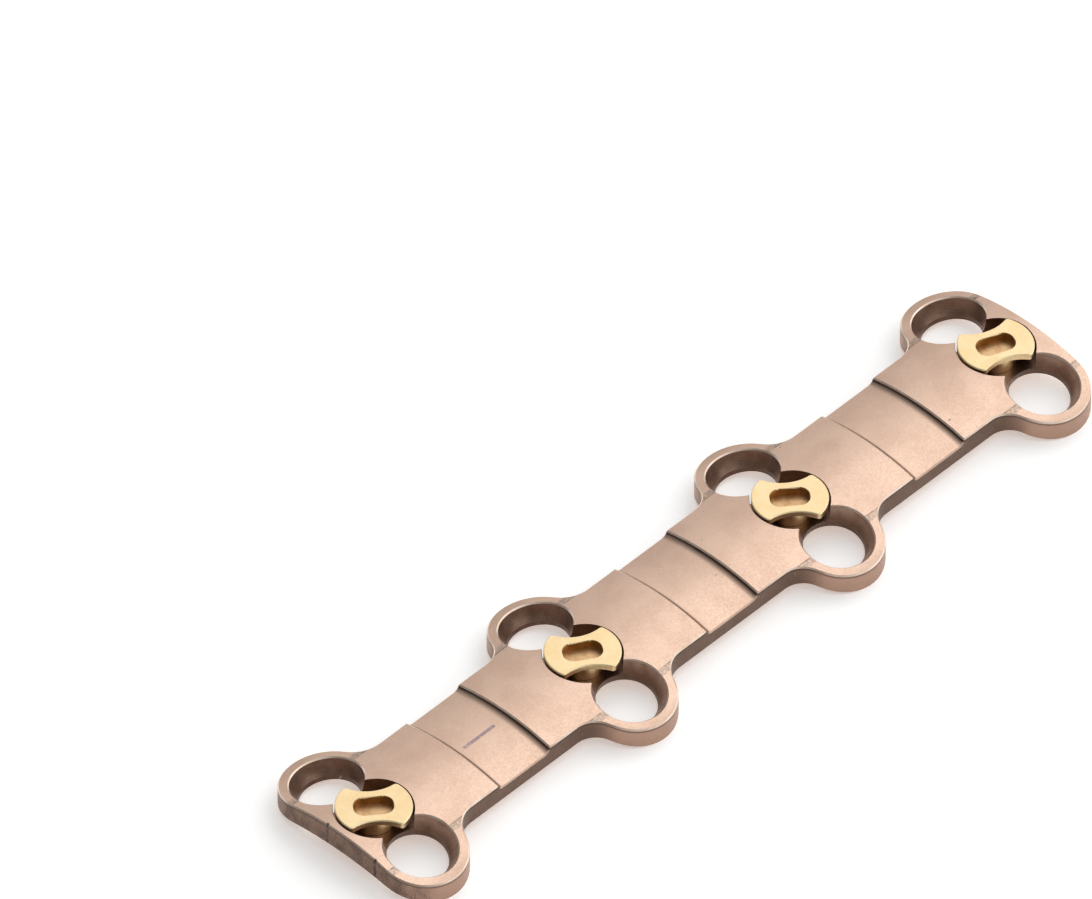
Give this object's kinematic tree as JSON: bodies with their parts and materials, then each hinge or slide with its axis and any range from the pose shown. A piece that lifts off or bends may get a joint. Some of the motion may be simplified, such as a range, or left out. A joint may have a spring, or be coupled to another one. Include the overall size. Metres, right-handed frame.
{
  "type": "anterior cervical bone plate",
  "caption": "Four-level curved bone plate with paired screw holes and a turning lock cam between each pair.",
  "frame": {"origin": "under the middle of the plate, on the plane that its lowest bone-side edges rest on", "axes": "+X along the spine from level 1 to level 4, +Y across the plate, +Z away from the bone"},
  "size_m": [0.0776, 0.0178, 0.0035],
  "materials": {
    "plate_titanium": "bronze-pink anodised titanium, satin",
    "cam_titanium": "pale gold anodised titanium, satin"
  },
  "bodies": {
    "plate": {"plate": "plate_titanium"},
    "cam_1": {"lock_cam_1": "cam_titanium"},
    "cam_2": {"lock_cam_2": "cam_titanium"},
    "cam_3": {"lock_cam_3": "cam_titanium"},
    "cam_4": {"lock_cam_4": "cam_titanium"}
  },
  "joints": [
    {"name": "cam_turn_1", "type": "hinge", "parent": "plate", "child": "cam_1", "pos_m": [-0.035, 0, 0.00233], "axis": [0, 0, 1], "range_deg": [-51, 39]},
    {"name": "cam_turn_2", "type": "hinge", "parent": "plate", "child": "cam_2", "pos_m": [-0.01167, 0, 0.00233], "axis": [0, 0, 1], "range_deg": [-57, 33]},
    {"name": "cam_turn_3", "type": "hinge", "parent": "plate", "child": "cam_3", "pos_m": [0.01167, 0, 0.00233], "axis": [0, 0, 1], "range_deg": [-52, 38]},
    {"name": "cam_turn_4", "type": "hinge", "parent": "plate", "child": "cam_4", "pos_m": [0.035, 0, 0.00233], "axis": [0, 0, 1], "range_deg": [-69, 21]}
  ]
}
